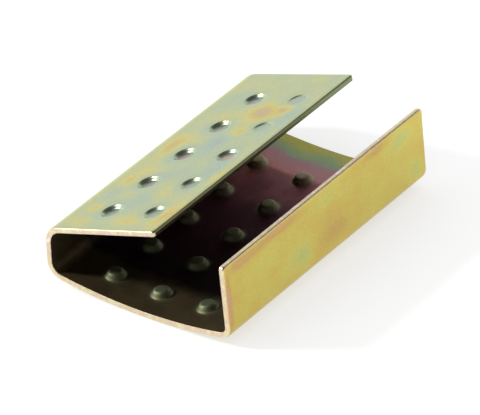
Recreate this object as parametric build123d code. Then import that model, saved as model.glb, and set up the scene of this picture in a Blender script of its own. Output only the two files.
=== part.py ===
"""An open strapping seal: one embossed steel strip, folded so that a strap lies in it before the flanges are crimped.

+X runs across the strap towards the short flange, +Y along the strap and +Z up.
The origin is on the lowest line of the bowed floor, halfway along the seal. Sizes are in millimetres and degrees.
"""

import os
from math import degrees, isclose, radians, tan

from build123d import *

# Sheet thickness and the length along the strap
sheet = 0.5
length = 25.0

# Folded section, in order from the long flange's free edge
# Widths are those of the outer face, and bend radii those of the inner face
long_flange = 10.7
long_flange_bend = 1.5
long_flange_turn = 67.0
wall = 1.9
wall_bend = 0.9
wall_turn = 87.0
floor_width = 16.3
floor_bow_radius = 46.6
short_flange_bend = 0.7
short_flange_turn = 77.0
short_flange = 5.7

# Free corners of both flanges, seen square to the sheet
corner_radius = 0.3

# Dimples, each pressed from outside by a tapered punch with a flat tip; the slope is from the sheet's plane
# The floor's punches are slimmer and go deeper than the long flange's, to bite into the strap
punch_slope = 60.0
flange_punch_radius = 0.78
flange_press_depth = 0.25
worn_press_depth = 0.1
floor_punch_radius = 0.58
floor_press_depth = 0.5
press_thinning = 0.03

# Grid of the dimples: columns lie side by side across the strip, rows follow each other along the strap
column_pitch = 4.7
edge_margin = 2.45
flange_columns = 2
floor_columns = 3
rows = 5
row_pitch = 4.45
flange_rows_shift = -0.65
floor_rows_shift = -0.95
worn_rows = 2


def leg(bend, width):
    """The flat stretch of the outer face that follows a bend."""
    return PolarLine(bend @ 1, width, direction=bend % 1)


def bend(stretch, inner_radius, turn):
    """The outer face's arc that follows a stretch, for a bend of this inner radius."""
    return JernArc(stretch @ 1, stretch % 1, inner_radius + sheet, turn)


def outer_face():
    """The outer face seen along the strap, as the long flange, its bend, the wall, its bend, the floor and so on."""
    long_leg = Line((0, 0), (-long_flange, 0))
    long_bend = bend(long_leg, long_flange_bend, long_flange_turn)
    wall_leg = leg(long_bend, wall)
    low_bend = bend(wall_leg, wall_bend, wall_turn)
    floor = JernArc(low_bend @ 1, low_bend % 1, floor_bow_radius, degrees(floor_width / floor_bow_radius))
    short_bend = bend(floor, short_flange_bend, short_flange_turn)
    short_leg = leg(short_bend, short_flange)
    middle = floor @ 0.5
    level = Rot(Z=-floor.tangent_angle_at(0.5)) * Pos(-middle.X, -middle.Y)
    return [level * stretch for stretch in (long_leg, long_bend, wall_leg, low_bend, floor, short_bend, short_leg)]


def folded_strip(outline):
    """The folded strip with square edges."""
    section = Face(Wire(outline).offset_2d(sheet, side=Side.RIGHT, closed=True))
    return extrude(Plane.XZ * section, length / 2, both=True)


def round_corners(strip):
    """Rounds the flanges' free corners, whose edges are as long as the sheet is thick."""
    corners = strip.edges().filter_by(lambda edge: isclose(edge.length, sheet, abs_tol=1e-6))
    return fillet(corners, corner_radius)


def spread(count, pitch, middle):
    """Evenly spaced places about a middle."""
    return [middle + (index - (count - 1) / 2) * pitch for index in range(count)]


def press_plane(stretch, across, along):
    """Where a punch meets the outer face, at a distance across a stretch; local z points through the sheet."""
    spot = stretch.position_at(across, position_mode=PositionMode.LENGTH)
    heading = stretch.tangent_at(across, position_mode=PositionMode.LENGTH)
    return Plane((spot.X, along, spot.Y), x_dir=(0, 1, 0), z_dir=(-heading.Y, 0, heading.X))


def flange_presses(long_leg):
    """The plane, punch and depth of each dimple in the long flange. The last punches by its free edge are worn."""
    placed = []
    for row, along in enumerate(spread(rows, row_pitch, flange_rows_shift)):
        for column in range(flange_columns):
            plane = press_plane(long_leg, edge_margin + column * column_pitch, along)
            worn = column == 0 and row >= rows - worn_rows
            placed.append((plane, flange_punch_radius, worn_press_depth if worn else flange_press_depth))
    return placed


def floor_presses(floor):
    """The plane, punch and depth of each dimple in the floor."""
    placed = []
    for along in spread(rows, row_pitch, floor_rows_shift):
        for across in spread(floor_columns, column_pitch, floor.length / 2):
            placed.append((press_plane(floor, across, along), floor_punch_radius, floor_press_depth))
    return placed


def taper(plane, start, end, tip_radius):
    """A cone of the punches' slope, from start to its tip at end, measured inwards from a plane."""
    rise = end - start
    return plane * Pos(Z=(start + end) / 2) * Cone(tip_radius + rise / tan(radians(punch_slope)), tip_radius, rise)


def emboss(strip, placed):
    """Raises a bump inside over each punch and sinks the hollow that it leaves outside."""
    for plane, tip_radius, depth in placed:
        bump = taper(plane, sheet / 2, depth + sheet - press_thinning, tip_radius)
        hollow = taper(plane, -sheet, depth, tip_radius)
        strip = strip + bump - hollow
    return strip


def seal_body():
    """The whole seal."""
    outline = outer_face()
    strip = round_corners(folded_strip(outline))
    return emboss(strip, flange_presses(outline[0]) + floor_presses(outline[4]))


os.makedirs("parts", exist_ok=True)
seal = seal_body()
seal.label = "seal_body"
export_step(seal, "parts/seal_body.step")
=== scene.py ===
"""Looks of an open strapping seal: a fine mesh of the folded, embossed strip in steel with an iridescent yellow coat.

+X runs across the strap towards the short flange, +Y along the strap and +Z up, with the origin under the middle of
the floor. The strip's sizes are in millimetres and degrees, and become metres when its mesh is made.
"""

import bpy
import numpy as np
from mathutils import Euler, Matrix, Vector


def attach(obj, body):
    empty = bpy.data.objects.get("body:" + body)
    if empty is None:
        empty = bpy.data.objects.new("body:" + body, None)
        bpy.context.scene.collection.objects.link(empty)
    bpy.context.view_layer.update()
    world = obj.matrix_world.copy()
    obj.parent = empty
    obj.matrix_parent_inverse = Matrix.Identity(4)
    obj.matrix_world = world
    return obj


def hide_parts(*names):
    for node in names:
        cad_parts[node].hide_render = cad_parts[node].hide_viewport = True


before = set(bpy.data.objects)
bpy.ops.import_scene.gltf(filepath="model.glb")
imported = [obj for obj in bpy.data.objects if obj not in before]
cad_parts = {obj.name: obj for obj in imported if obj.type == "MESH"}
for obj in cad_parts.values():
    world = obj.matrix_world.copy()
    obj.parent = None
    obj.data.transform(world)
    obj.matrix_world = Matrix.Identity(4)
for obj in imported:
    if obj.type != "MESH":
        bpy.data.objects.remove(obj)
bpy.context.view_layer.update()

MM = 0.001

# Sheet thickness and the length along the strap
sheet = 0.5
length = 25.0

# Widths and turns of the outer face, in order from the long flange's free edge
long_flange = 10.7
long_flange_bend = 1.5
long_flange_turn = 67.0
wall = 1.9
wall_bend = 0.9
wall_turn = 87.0
floor_width = 16.3
floor_bow_radius = 46.6
short_flange_bend = 0.7
short_flange_turn = 77.0
short_flange = 5.7

# Edges: the outer face rolls over where the strip was cut, and the flanges' free corners are round
corner_radius = 0.3
roll_width = 0.3
roll_depth = 0.12
burr_radius = 0.03

# Cut faces: depth from the outer face and how far the cut has broken back there, down to the inner face
cut_rings = [(0.2, 0.0), (0.3, 0.0), (0.35, 0.014), (0.42, 0.04)]
broken_back = 0.05

# Dimples: a hollow outside and a bump inside, with the punches' tip radii and slope
punch_slope = 60.0
flange_punch_radius = 0.78
floor_punch_radius = 0.58
floor_press_depth = 0.5
press_thinning = 0.03
soft_rim = 0.03
soft_tip = 0.02
soft_root = 0.03
soft_top = 0.06
sink_depth = 0.045
sink_radius = 1.5

# Depths of the long flange's two columns of dimples, row by row, from the column by its free edge
flange_depths = [
    [0.2, 0.21, 0.22, 0.1, 0.08],
    [0.27, 0.28, 0.28, 0.26, 0.24],
]

# Grid of the dimples
column_pitch = 4.7
edge_margin = 2.45
floor_columns = 3
rows = 5
row_pitch = 4.45
flange_rows_shift = -0.65
floor_rows_shift = -0.95

# Areas of the long flange and the short flange where the coat's film differs, as blend_areas takes them
outer_areas = [
    (9.3, -9.3, 0.7, 0.55, 1.0),
    (9.4, -11.4, 1.6, 0.8, 1.14),
    (9.6, -7.0, 0.8, 1.0, 1.4),
    (5.4, -7.9, 1.1, 1.4, 1.44),
    (4.0, -11.0, 2.0, 0.7, 1.1),
    (0.9, -10.0, 0.9, 2.2, 0.95),
    (3.9, -6.6, 0.7, 1.2, 1.2),
    (9.4, -4.9, 0.8, 0.9, 1.06),
    (8.6, -3.2, 1.0, 0.9, 1.14),
    (4.9, -3.5, 1.2, 1.2, 1.46),
    (1.8, -2.9, 0.9, 1.5, 1.48),
    (0.5, -3.6, 0.4, 1.6, 1.1),
    (9.6, 0.6, 0.8, 1.7, 0.92),
    (7.8, 1.6, 0.8, 0.6, 1.2),
    (5.3, 1.1, 1.0, 1.6, 1.58),
    (4.2, 3.0, 0.9, 0.7, 0.98),
    (8.0, 5.1, 1.1, 0.8, 1.1),
    (4.4, 6.1, 1.4, 1.4, 0.86),
    (2.4, 6.6, 0.7, 0.8, 0.9),
    (1.1, 5.6, 0.7, 1.5, 1.46),
    (9.3, 8.2, 0.9, 1.4, 1.38),
    (7.5, 9.6, 0.7, 0.7, 1.16),
    (3.0, 11.4, 0.9, 0.6, 1.14),
    (38.6, -11.0, 1.4, 1.2, 1.0),
    (40.1, -9.8, 0.45, 1.6, 0.76),
    (40.2, -5.6, 0.4, 2.6, 0.74),
    (37.5, -12.15, 2.3, 0.3, 0.64),
    (37.5, -7.6, 1.5, 2.6, 1.12),
    (36.3, -3.1, 1.0, 1.6, 1.26),
    (37.9, 0.8, 1.4, 1.8, 0.98),
    (36.2, 1.2, 0.9, 1.5, 0.82),
    (39.5, 0.2, 0.6, 1.0, 1.2),
    (39.0, 3.3, 0.8, 1.2, 1.12),
    (40.2, 6.6, 0.4, 1.6, 0.8),
    (39.4, 9.6, 0.9, 1.3, 1.28),
    (36.6, 5.6, 0.8, 1.4, 1.08),
    (35.8, 11.2, 0.7, 0.9, 1.24),
]

# Film in the pressed tips of the long flange's dimples, row by row, from the column by its free edge
flange_tips = [
    [1.5, 1.46, 1.72, 1.48, 1.55],
    [1.46, 1.66, 1.68, 1.58, 1.6],
]

# Painted light and shade inside, as places on the coat's ramp along the strip: a painted pool of light along the front,
# painted shade deep inside with a painted shadow edge near 8 mm along, and bright painted reflections towards the far
# end, over the coat's own colour bands
inner_places = [-12.5, -8.6, -7.4, -3.0, 2.5, 6.5, 7.9, 8.3, 9.4, 10.2, 11.0, 12.0]
inner_values = [1.0, 0.98, 0.86, 0.78, 0.64, 0.54, 0.5, 0.42, 0.37, 0.31, 0.22, 0.1]

# Mesh lines
patch_lines = np.array([0.18, 0.36, 0.5, 0.6, 0.68, 0.76, 0.84, 0.92, 1.0, 1.09, 1.22, 1.44, 1.8])
round_patch = 1.44
border_lines = np.array([0, 0.008, 0.03, 0.065, 0.11, 0.17, 0.24, 0.32])
open_spacing = 0.34
bend_spacing = 0.15


def stretches():
    """Length and turn, in radians, of each stretch of the outer face."""
    turned = [(long_flange_bend, long_flange_turn), (wall_bend, wall_turn), (short_flange_bend, short_flange_turn)]
    bends = [((radius + sheet) * np.radians(turn), np.radians(turn)) for radius, turn in turned]
    floor = (floor_width, floor_width / floor_bow_radius)
    return [(long_flange, 0.0), bends[0], (wall, 0.0), bends[1], floor, bends[2], (short_flange, 0.0)]


def trace(across, start=(0.0, 0.0), heading=0.0):
    """Place and heading of the outer face at each distance across the strip."""
    x, z, turned = (np.zeros(len(across)) for _ in range(3))
    begun = 0.0
    point = np.array(start)
    for span, turn in stretches():
        here = across >= begun - 1e-9
        run = np.minimum(across[here] - begun, span)
        mid = heading + turn / span * run / 2
        chord = run * np.sinc(turn / span * run / (2 * np.pi))
        x[here] = point[0] + chord * np.cos(mid)
        z[here] = point[1] + chord * np.sin(mid)
        turned[here] = heading + turn / span * run
        begun += span
        chord = span * np.sinc(turn / (2 * np.pi))
        point = point + chord * np.array([np.cos(heading + turn / 2), np.sin(heading + turn / 2)])
        heading += turn
    return x, z, turned


def outer_face(across):
    """The levelled outer face, with the floor's middle at the origin."""
    before = stretches()[:4]
    middle = np.array([sum(span for span, _ in before) + floor_width / 2])
    level = -(sum(turn for _, turn in before) + floor_width / floor_bow_radius / 2)
    x, z, _ = trace(middle, heading=level)
    return trace(across, start=(-x[0], -z[0]), heading=level)


def spread(count, pitch, middle):
    """Evenly spaced places about a middle."""
    return [middle + (index - (count - 1) / 2) * pitch for index in range(count)]


def dimples():
    """Centre across and along the strip, punch radius and press depth of each dimple, with all rows in the flange's."""
    floor_middle = sum(span for span, _ in stretches()[:4]) + floor_width / 2
    made = []
    for row, along in enumerate(spread(rows, row_pitch, flange_rows_shift)):
        for column, depths in enumerate(flange_depths):
            made.append((edge_margin + column * column_pitch, along, flange_punch_radius, depths[row]))
        for across in spread(floor_columns, column_pitch, floor_middle):
            made.append((across, along, floor_punch_radius, floor_press_depth))
    return made


def drift(u, v):
    """How far along the strip the floor's rows lie from those of the long flange, with both ends of the strip kept."""
    inner = 1 - step(abs(v), 11.3, 12.2)
    return (floor_rows_shift - flange_rows_shift) * step(u, 12, 18) * inner


def lines(low, high, centres, stops, spacing):
    """Mesh lines from low to high: close at both borders and round each dimple, and open elsewhere."""
    fixed = [low + border_lines, high - border_lines]
    for centre in centres:
        fixed += [centre + patch_lines, centre - patch_lines, [centre]]
    fixed.append(stops)
    fixed = np.unique(np.round(np.concatenate(fixed), 6))
    made = [fixed[:1]]
    for start, end in zip(fixed[:-1], fixed[1:]):
        count = int(np.ceil((end - start) / spacing((start + end) / 2) - 1e-6))
        made.append(np.linspace(start, end, count + 1)[1:])
    return np.concatenate(made)


def rounded(a, b, share):
    """Draws the square rings of a patch, given from its centre, into round ones, by a share from 0 to 1."""
    ring = np.maximum(abs(a), abs(b))
    scale = 1 + share * (ring / np.maximum(np.hypot(a, b), 1e-9) - 1)
    return a * scale, b * scale


def step(value, low, high):
    """Rises smoothly from 0 at low to 1 at high."""
    t = np.clip((value - low) / (high - low), 0, 1)
    return t * t * (3 - 2 * t)


def lay_out(across, along, placed, total):
    """The grid's places on the sheet, with round rings at the dimples and round free corners."""
    u, v = np.meshgrid(across, along, indexing="ij")
    inset = np.minimum(np.minimum(u, total - u), length / 2 - abs(v))
    for centre_u, centre_v, _, _ in placed:
        a, b = u - centre_u, v - centre_v
        ring = np.maximum(abs(a), abs(b))
        a, b = rounded(a, b, np.where(ring < 2, 1 - step(ring, round_patch, 2.0), 0))
        u, v = centre_u + a, centre_v + b
    for centre_u in (corner_radius, total - corner_radius):
        for centre_v in (corner_radius - length / 2, length / 2 - corner_radius):
            outward_u = (u - centre_u) * (1 if centre_u > total / 2 else -1)
            outward_v = (v - centre_v) * (1 if centre_v > 0 else -1)
            inside = (outward_u > 0) & (outward_v > 0)
            a, b = rounded(u - centre_u, v - centre_v, inside.astype(float))
            u, v = centre_u + a, centre_v + b
    return u, v, inset


def pressed(radius, tip_radius, height, root, top):
    """The height of a blunt cone at a distance from its axis, softened at its root and its top."""
    side = height + (tip_radius - radius) * np.tan(np.radians(punch_slope))
    side = root * np.logaddexp(0, side / root)
    return np.maximum(height - top * np.logaddexp(0, (height - side) / top), 0)


def fold(u, v, depth):
    """Places on the folded sheet, at a depth measured inwards from the outer face."""
    x, z, heading = outer_face(u.ravel())
    depth = depth.ravel()
    return np.stack([x - depth * np.sin(heading), v.ravel(), z + depth * np.cos(heading)], 1)


def roll(inset, width, depth):
    """How far a rolled edge falls away from its face."""
    short = np.clip(1 - inset / width, 0, 1)
    return depth * (1 - np.sqrt(1 - short**2))


def drawn_in(u, v, total, distance):
    """Places near the border of the sheet drawn in from it, by this distance at the border itself."""
    reach = corner_radius
    return (
        u + (np.clip(u, reach, total - reach) - u) / reach * distance,
        v + (np.clip(v, reach - length / 2, length / 2 - reach) - v) / reach * distance,
    )


def grid_faces(columns, count, start, flip):
    """Quads between the points of a grid."""
    index = start + np.arange(columns * count).reshape(columns, count)
    quads = np.stack([index[:-1, :-1], index[1:, :-1], index[1:, 1:], index[:-1, 1:]], -1).reshape(-1, 4)
    return quads[:, ::-1] if flip else quads


def border(columns, count):
    """The grid's outermost points, in order round it."""
    index = np.arange(columns * count).reshape(columns, count)
    return np.concatenate([index[:-1, 0], index[-1, :-1], index[:0:-1, -1], index[0, :0:-1]])


def blend_areas(u, v, base, areas):
    """A film over the sheet that passes smoothly to other values in some areas, each given as its centre across and
    along, its reach across and along, and its value."""
    film = base
    for across, along, reach_u, reach_v, value in areas:
        share = np.exp(-(((u - across) / reach_u) ** 2) - ((v - along) / reach_v) ** 2)
        film = film + (value - film) * share
    return film


def outer_film(u, v):
    """Film thickness outside, as a place on the ramp of the coat's colours: sage on the long flange, gold elsewhere,
    with a ring of painted shade round each hollow.
    """
    base = 1.05 + 0.23 * (1 - step(u, 10.6, 13.0))
    film = blend_areas(u, v, base, outer_areas)
    for row, along in enumerate(spread(rows, row_pitch, flange_rows_shift)):
        for column, tips in enumerate(flange_tips):
            radius = np.hypot(u - edge_margin - column * column_pitch, v - along)
            # A ring of painted shade round each hollow, as a shift along the ramp
            film = film + 0.1 * np.exp(-(((radius - 1.25) / 0.3) ** 2))
            film = film + (tips[row] - film) * np.exp(-((radius / 0.8) ** 6))
    return film


def inner_shade_and_film(u, v):
    """Place on the coat's ramp inside, carrying painted light and shade: bright painted reflections at the far end,
    painted shade deep inside and a painted pool of light near the front.
    """
    return np.interp(v, inner_places, inner_values)


def make_strip():
    """The seal as one closed mesh, with the coat's film thickness, the painted light and shade inside, the painted
    sheen on the bumps and the cut faces as attributes.
    """
    spans = [span for span, _ in stretches()]
    total = sum(spans)
    stops = np.cumsum(spans)[:-1]
    placed = dimples()
    bends = [(stops[0], stops[1]), (stops[2], stops[3]), (stops[4], stops[5])]

    def across_spacing(place):
        return bend_spacing if any(low < place < high for low, high in bends) else open_spacing

    across = lines(0, total, sorted({u for u, _, _, _ in placed}), stops, across_spacing)
    along = lines(-length / 2, length / 2, sorted({v for _, v, _, _ in placed}), [], lambda place: open_spacing)
    u, v, inset = lay_out(across, along, placed, total)
    hollow, dome, near = (np.zeros_like(u) for _ in range(3))
    for centre_u, centre_v, tip_radius, depth in placed:
        radius = np.hypot(u - centre_u, v - centre_v)
        sink = sink_depth * np.exp(-((radius / sink_radius) ** 2) * 2)
        hollow += pressed(radius, tip_radius, depth, soft_rim, soft_tip) + sink
        dome += pressed(radius, tip_radius, depth - press_thinning, soft_root, soft_top) + sink
        # Share of the painted sheen on the bumps inside, near each dimple
        near = np.maximum(near, np.exp(-((radius / 1.0) ** 6)))
    v = v + drift(u, v)
    outer = fold(u, v, hollow + roll(inset, roll_width, roll_depth))
    inner = fold(*drawn_in(u, v, total, broken_back), sheet + dome - roll(inset, burr_radius, burr_radius))

    size = u.size
    edge = border(*u.shape)
    edge_u, edge_v = u.ravel()[edge], v.ravel()[edge]
    rings = [outer, inner]
    faces = [grid_faces(*u.shape, 0, True), grid_faces(*u.shape, size, False)]
    chain = [edge]
    for index, (level, recess) in enumerate(cut_rings):
        rings.append(fold(*drawn_in(edge_u, edge_v, total, recess), np.full(len(edge), level)))
        chain.append(2 * size + index * len(edge) + np.arange(len(edge)))
    chain.append(size + edge)
    for first, second in zip(chain[:-1], chain[1:]):
        faces.append(np.stack([first, np.roll(first, -1), np.roll(second, -1), second], 1))
    points = np.concatenate(rings) * MM
    mesh = bpy.data.meshes.new("seal_strip")
    mesh.from_pydata(points.tolist(), [], np.concatenate(faces).tolist())
    mesh.update()
    mesh.validate()
    mesh.shade_smooth()
    ends = len(cut_rings) * len(edge)
    looks = {
        # film carries the coat's film outside and the painted light and shade inside, and the place along the cut faces
        "film": [outer_film(u, v - drift(u, v)), inner_shade_and_film(u, v), np.tile(edge_v / length + 0.5, len(cut_rings))],
        "rich": [step(u, 9.8, 12.5), np.ones(size), np.ones(ends)],
        "inside": [np.zeros(size), np.ones(size), np.zeros(ends)],
        # dome carries the painted sheen on the bumps inside
        "dome": [np.zeros(size), near, np.zeros(ends)],
        "cut": [1 - step(inset, 0.03, 0.11), inset < burr_radius, np.ones(ends)],
        "free_edge": [u < 0.1, u < 0.1, np.tile(edge_u < 0.02, len(cut_rings))],
    }
    for name, parts in looks.items():
        values = np.concatenate([part.ravel() for part in parts]).astype(np.float32)
        mesh.attributes.new(name, "FLOAT", "POINT").data.foreach_set("value", values)
    piece = bpy.data.objects.new("seal_strip", mesh)
    bpy.context.scene.collection.objects.link(piece)
    return piece


def rgb(red, green, blue):
    """A colour written as on a screen, for a shader's socket."""
    values = np.array([red, green, blue]) / 255
    linear = np.where(values <= 0.04045, values / 12.92, ((values + 0.055) / 1.055) ** 2.4)
    return (*linear, 1.0)


def coat_material():
    """Iridescent yellow coat on steel: its film thickness sets its colour outside, with painted shade round each
    hollow; inside, painted light and shade and a painted sheen on the bumps set it; its cut faces are paler, except for
    the painted shade on the long flange's free edge.
    """
    material = bpy.data.materials.new("yellow_chromate")
    material.use_nodes = True
    tree = material.node_tree
    nodes, links = tree.nodes, tree.links
    shader = nodes["Principled BSDF"]
    shader.inputs["Metallic"].default_value = 1.0
    place = nodes.new("ShaderNodeTexCoord").outputs["Object"]

    def noise(scale, detail, roughness=0.5):
        node = nodes.new("ShaderNodeTexNoise")
        node.inputs["Scale"].default_value = scale
        node.inputs["Detail"].default_value = detail
        node.inputs["Roughness"].default_value = roughness
        links.new(place, node.inputs["Vector"])
        return node.outputs["Fac"]

    def math(operation, first, second, clamp=False):
        node = nodes.new("ShaderNodeMath")
        node.operation = operation
        node.use_clamp = clamp
        for socket, value in zip(node.inputs, (first, second)):
            if isinstance(value, (int, float)):
                socket.default_value = value
            else:
                links.new(value, socket)
        return node.outputs[0]

    def ramp(position, stops):
        node = nodes.new("ShaderNodeValToRGB")
        elements = node.color_ramp.elements
        elements[0].position, elements[0].color = stops[0]
        elements[1].position, elements[1].color = stops[-1]
        for place_on_ramp, colour in stops[1:-1]:
            elements.new(place_on_ramp).color = colour
        links.new(position, node.inputs["Fac"])
        return node.outputs["Color"]

    def mix(share, first, second):
        node = nodes.new("ShaderNodeMix")
        node.data_type = "RGBA"
        for socket, value in ((node.inputs["Factor"], share), (node.inputs["A"], first), (node.inputs["B"], second)):
            if isinstance(value, (tuple, float)):
                socket.default_value = value
            else:
                links.new(value, socket)
        return node.outputs["Result"]

    def attribute(name):
        node = nodes.new("ShaderNodeAttribute")
        node.attribute_name = name
        return node.outputs["Fac"]

    cloud = math("MULTIPLY", math("SUBTRACT", noise(420, 3), 0.5), 0.34)
    grain = noise(11000, 2, 0.6)
    outer = math("FRACT", math("ADD", attribute("film"), cloud), 0.0)
    pale = ramp(outer, [
        (0.0, rgb(210, 189, 106)),
        (0.12, rgb(205, 199, 126)),
        (0.24, rgb(192, 197, 146)),
        (0.36, rgb(179, 193, 160)),
        (0.48, rgb(171, 190, 168)),
        (0.58, rgb(172, 180, 172)),
        (0.70, rgb(190, 168, 160)),
        (0.84, rgb(195, 178, 140)),
        (0.92, rgb(196, 180, 130)),
        (1.0, rgb(210, 189, 106)),
    ])
    full = ramp(outer, [
        (0.0, rgb(208, 184, 94)),
        (0.12, rgb(208, 196, 101)),
        (0.26, rgb(194, 196, 114)),
        (0.40, rgb(178, 190, 132)),
        (0.52, rgb(176, 178, 150)),
        (0.64, rgb(192, 166, 150)),
        (0.76, rgb(212, 164, 124)),
        (0.86, rgb(200, 168, 98)),
        (1.0, rgb(208, 184, 94)),
    ])
    outer_colour = mix(attribute("rich"), pale, full)
    # Inside, the ramp's colours carry painted light and shade: bright painted reflections at the thin end, painted
    # shade towards the thick end and a painted pool of light at the very end
    inner_colour = ramp(math("ADD", attribute("film"), math("MULTIPLY", cloud, 0.6), True), [
        (0.0, rgb(214, 196, 92)),
        (0.12, rgb(196, 196, 112)),
        (0.24, rgb(158, 184, 150)),
        (0.32, rgb(186, 150, 158)),
        (0.42, rgb(196, 142, 146)),
        (0.5, rgb(150, 98, 106)),
        (0.64, rgb(92, 56, 70)),
        (0.84, rgb(60, 44, 48)),
        (0.9, rgb(56, 48, 44)),
        (1.0, rgb(104, 92, 66)),
    ])
    # Painted sheen on the bumps inside: a pale aqua-green laid over the dark inside near each dimple
    inner_colour = mix(math("MULTIPLY", attribute("dome"), 0.7), inner_colour, rgb(140, 152, 118))
    coat = mix(attribute("inside"), outer_colour, inner_colour)
    edge_colour = ramp(noise(1500, 3), [
        (0.36, rgb(232, 222, 182)),
        (0.5, rgb(226, 206, 170)),
        (0.58, rgb(222, 196, 178)),
        (0.66, rgb(238, 230, 208)),
    ])
    # Painted shade on the long flange's free edge: its cut face is a darker brown and olive, browner at the front,
    # where the other cut faces are pale
    free_edge_shade = ramp(attribute("film"), [
        (0.0, rgb(150, 124, 92)),
        (0.5, rgb(120, 124, 92)),
        (1.0, rgb(132, 142, 106)),
    ])
    cut_colour = mix(attribute("free_edge"), edge_colour, free_edge_shade)
    plain = mix(attribute("cut"), coat, cut_colour)
    speckled = nodes.new("ShaderNodeHueSaturation")
    links.new(plain, speckled.inputs["Color"])
    links.new(math("ADD", math("MULTIPLY", noise(8000, 2), 0.36), 0.83), speckled.inputs["Value"])
    links.new(speckled.outputs["Color"], shader.inputs["Base Color"])

    rough = math("ADD", math("MULTIPLY", grain, 0.16), math("ADD", math("MULTIPLY", attribute("inside"), 0.26), 0.26))
    links.new(rough, shader.inputs["Roughness"])
    bump = nodes.new("ShaderNodeBump")
    bump.inputs["Strength"].default_value = 1.0
    links.new(math("ADD", math("MULTIPLY", attribute("inside"), 0.000012), 0.000004), bump.inputs["Distance"])
    links.new(grain, bump.inputs["Height"])
    links.new(bump.outputs["Normal"], shader.inputs["Normal"])
    return material


def light_path(nodes, names):
    """One where the ray is of any of these kinds."""
    path = nodes.new("ShaderNodeLightPath")
    total = path.outputs[names[0]]
    for name in names[1:]:
        node = nodes.new("ShaderNodeMath")
        node.operation = "MAXIMUM"
        nodes.id_data.links.new(total, node.inputs[0])
        nodes.id_data.links.new(path.outputs[name], node.inputs[1])
        total = node.outputs[0]
    return total


def make_floor():
    """A pale floor under the seal that the camera sees as white."""
    mesh = bpy.data.meshes.new("floor")
    reach = 3.0
    mesh.from_pydata([(-reach, -reach, 0), (reach, -reach, 0), (reach, reach, 0), (-reach, reach, 0)], [], [(0, 1, 2, 3)])
    floor = bpy.data.objects.new("floor", mesh)
    floor.location.z = -0.00002
    bpy.context.scene.collection.objects.link(floor)
    material = bpy.data.materials.new("floor_white")
    material.use_nodes = True
    nodes, links = material.node_tree.nodes, material.node_tree.links
    nodes.remove(nodes["Principled BSDF"])
    plain = nodes.new("ShaderNodeBsdfDiffuse")
    plain.inputs["Color"].default_value = (0.95, 0.95, 0.95, 1)
    glow = nodes.new("ShaderNodeEmission")
    glow.inputs["Strength"].default_value = 1.0
    mix = nodes.new("ShaderNodeMixShader")
    half = nodes.new("ShaderNodeMath")
    half.operation = "MULTIPLY"
    half.inputs[1].default_value = 0.6
    links.new(light_path(nodes, ["Is Camera Ray", "Is Glossy Ray", "Is Transmission Ray"]), half.inputs[0])
    links.new(half.outputs[0], mix.inputs[0])
    links.new(plain.outputs[0], mix.inputs[1])
    links.new(glow.outputs[0], mix.inputs[2])
    links.new(mix.outputs[0], nodes["Material Output"].inputs["Surface"])
    mesh.materials.append(material)


def make_world():
    """A white surround with a tall white backdrop at the back left, under a dark room."""
    world = bpy.data.worlds.new("studio")
    bpy.context.scene.world = world
    world.use_nodes = True
    nodes, links = world.node_tree.nodes, world.node_tree.links
    direction = nodes.new("ShaderNodeTexCoord").outputs["Generated"]
    above = nodes.new("ShaderNodeVectorMath")
    above.operation = "DOT_PRODUCT"
    above.inputs[1].default_value = (0.345, -0.36, 1.0)
    links.new(direction, above.inputs[0])
    height = nodes.new("ShaderNodeMapRange")
    height.interpolation_type = "SMOOTHSTEP"
    height.inputs["From Min"].default_value = 0.2
    height.inputs["From Max"].default_value = 0.45
    height.inputs["To Min"].default_value = 1.0
    height.inputs["To Max"].default_value = 0.1
    links.new(above.outputs["Value"], height.inputs["Value"])
    seen = nodes.new("ShaderNodeMath")
    seen.operation = "MAXIMUM"
    links.new(height.outputs[0], seen.inputs[0])
    links.new(light_path(nodes, ["Is Camera Ray", "Is Diffuse Ray"]), seen.inputs[1])
    background = nodes["Background"]
    background.inputs["Color"].default_value = (1, 1, 1, 1)
    links.new(seen.outputs[0], background.inputs["Strength"])


def aim(azimuth, elevation, distance):
    """A place seen from the seal's middle, with azimuth from -Y towards +X."""
    a, e = np.radians(azimuth), np.radians(elevation)
    return Vector((np.sin(a) * np.cos(e), -np.cos(a) * np.cos(e), np.sin(e))) * distance


def add_lamp(name, azimuth, elevation, distance, size, power):
    """A square lamp that faces the seal."""
    lamp = bpy.data.lights.new(name, "AREA")
    lamp.size = size
    lamp.energy = power
    held = bpy.data.objects.new(name, lamp)
    held.location = aim(azimuth, elevation, distance)
    held.rotation_euler = (-held.location).to_track_quat("-Z", "Y").to_euler()
    bpy.context.scene.collection.objects.link(held)


def add_camera():
    """The photograph's camera: a long lens from the front right, above."""
    camera = bpy.data.cameras.new("camera")
    camera.lens = 356.7
    camera.sensor_width = 36.0
    held = bpy.data.objects.new("camera", camera)
    held.location = (0.213975, -0.226105, 0.20592)
    held.rotation_euler = Euler(np.radians((56.5556, 7.2012, 38.6542)))
    bpy.context.scene.collection.objects.link(held)
    bpy.context.scene.camera = held


strip = make_strip()
strip.data.materials.append(coat_material())
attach(strip, "root")
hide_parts("seal_body")

make_floor()
make_world()
add_lamp("key", azimuth=-60, elevation=36, distance=0.5, size=0.06, power=1.8)
add_camera()
bpy.context.scene.view_settings.view_transform = "Standard"
